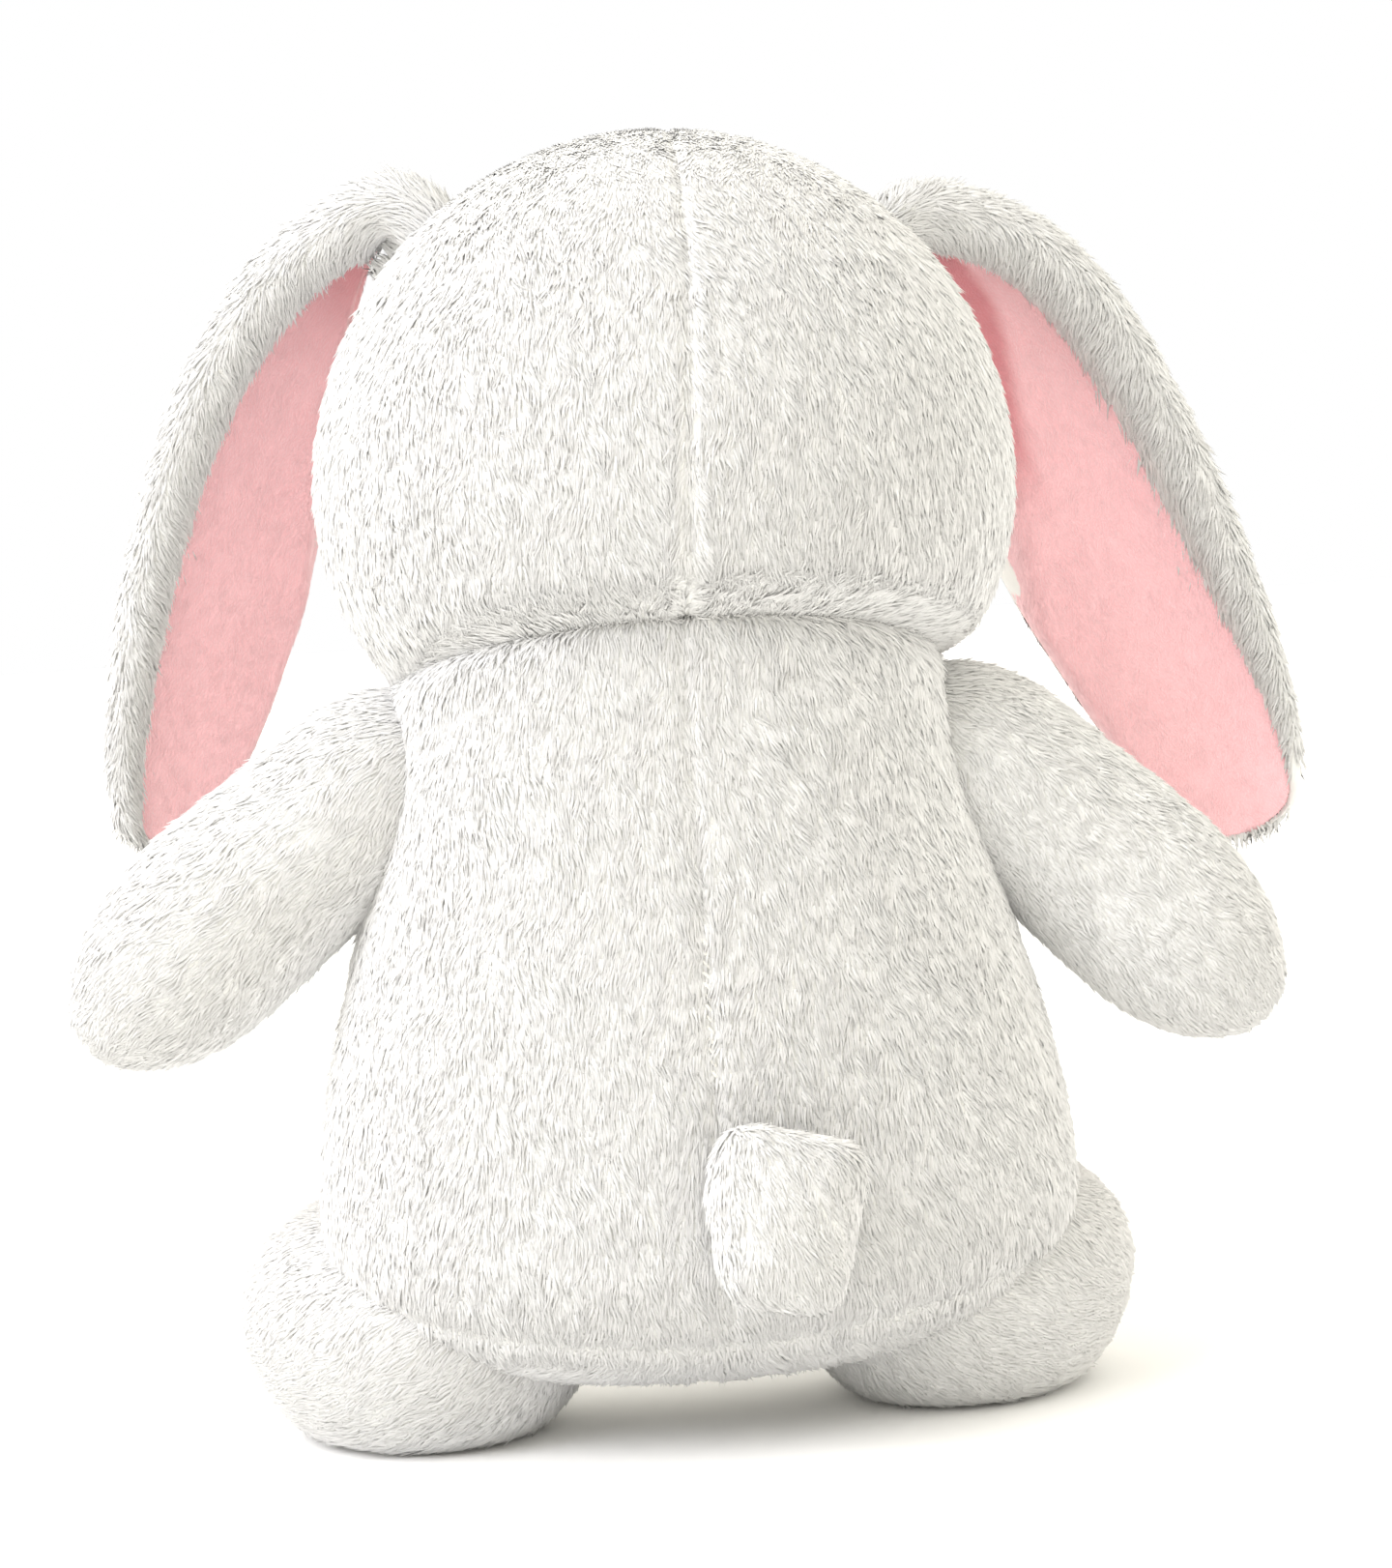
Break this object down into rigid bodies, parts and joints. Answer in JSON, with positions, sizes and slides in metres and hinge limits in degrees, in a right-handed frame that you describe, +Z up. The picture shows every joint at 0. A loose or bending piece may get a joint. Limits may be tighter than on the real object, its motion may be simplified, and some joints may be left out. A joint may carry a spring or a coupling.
{
  "type": "stuffed bunny rabbit",
  "caption": "Sewn plush bunny with drooping lined ears, short arms, broad feet and a pouch tail, filled with fibre and flexing at its seams.",
  "frame": {"origin": "on the standing surface, under the middle of the toy's box", "axes": "+Z up; the face looks along -Y; the toy's own left side is +X"},
  "size_m": [0.2967, 0.1704, 0.2947],
  "materials": {
    "plush": "short white pile fur cloth",
    "lining": "short pink velour",
    "nose_cloth": "pink satin stitch",
    "eye": "polished dark safety eye",
    "washer": "moulded locking washer",
    "thread": "sewing thread",
    "mouth_thread": "embroidery thread",
    "filling": "loose polyester fibre",
    "pellets": "woven bag of beads"
  },
  "bodies": {
    "torso": {"back_left": "plush", "back_right": "plush", "belly": "plush", "base_panel": "plush", "torso_stuffing": "filling", "pellet_bag": "pellets", "back_seam_thread": "thread", "closing_stitches": "thread"},
    "neck": {"neck_wad": "filling"},
    "head": {"head_back_left": "plush", "head_back_right": "plush", "face_panel": "plush", "head_stuffing": "filling", "head_seam_thread": "thread", "muzzle": "plush", "nose": "nose_cloth", "mouth_thread": "mouth_thread", "eye_left": "eye", "eye_right": "eye", "eye_washer_left": "washer", "eye_washer_right": "washer"},
    "ear_left": {"ear_left_plush": "plush", "ear_left_lining": "lining"},
    "ear_right": {"ear_right_plush": "plush", "ear_right_lining": "lining"},
    "arm_left": {"arm_left_front": "plush", "arm_left_back": "plush", "arm_left_stuffing": "filling"},
    "arm_right": {"arm_right_front": "plush", "arm_right_back": "plush", "arm_right_stuffing": "filling"},
    "foot_left": {"foot_left_upper": "plush", "foot_left_sole": "plush", "foot_left_stuffing": "filling"},
    "foot_right": {"foot_right_upper": "plush", "foot_right_sole": "plush", "foot_right_stuffing": "filling"},
    "tail": {"tail_plush": "plush", "tail_stuffing": "filling"}
  },
  "joints": [
    {"name": "head_tilt", "type": "hinge", "parent": "torso", "child": "neck", "pos_m": [0.008, -0.003, 0.17], "axis": [0, 1, 0], "range_deg": [-5, 5], "stiffness_Nm_per_rad": 2},
    {"name": "head_nod", "type": "hinge", "parent": "neck", "child": "head", "pos_m": [0.008, -0.003, 0.17], "axis": [1, 0, 0], "range_deg": [-8, 9], "stiffness_Nm_per_rad": 2},
    {"name": "ear_left_lift", "type": "hinge", "parent": "head", "child": "ear_left", "pos_m": [0.05803, -0.021, 0.27174], "axis": [0, -1, 0], "range_deg": [0, 50], "stiffness_Nm_per_rad": 0.06},
    {"name": "ear_right_lift", "type": "hinge", "parent": "head", "child": "ear_right", "pos_m": [-0.05363, -0.021, 0.26293], "axis": [0, 1, 0], "range_deg": [0, 50], "stiffness_Nm_per_rad": 0.06},
    {"name": "arm_left_raise", "type": "hinge", "parent": "torso", "child": "arm_left", "pos_m": [0.076, -0.003, 0.149], "axis": [0, -1, 0], "range_deg": [-8, 34], "stiffness_Nm_per_rad": 0.25},
    {"name": "arm_right_raise", "type": "hinge", "parent": "torso", "child": "arm_right", "pos_m": [-0.063, -0.003, 0.145], "axis": [0, 1, 0], "range_deg": [-6, 38], "stiffness_Nm_per_rad": 0.25},
    {"name": "foot_left_flex", "type": "hinge", "parent": "torso", "child": "foot_left", "pos_m": [0.073, -0.007, 0.036], "axis": [-1, 0, 0], "range_deg": [-5, 6], "stiffness_Nm_per_rad": 4},
    {"name": "foot_right_flex", "type": "hinge", "parent": "torso", "child": "foot_right", "pos_m": [-0.053, -0.007, 0.036], "axis": [-1, 0, 0], "range_deg": [-5, 6], "stiffness_Nm_per_rad": 4},
    {"name": "tail_swing", "type": "hinge", "parent": "torso", "child": "tail", "pos_m": [0.016, 0.059, 0.057], "axis": [0, 0, -1], "range_deg": [0, 25], "stiffness_Nm_per_rad": 0.02}
  ]
}
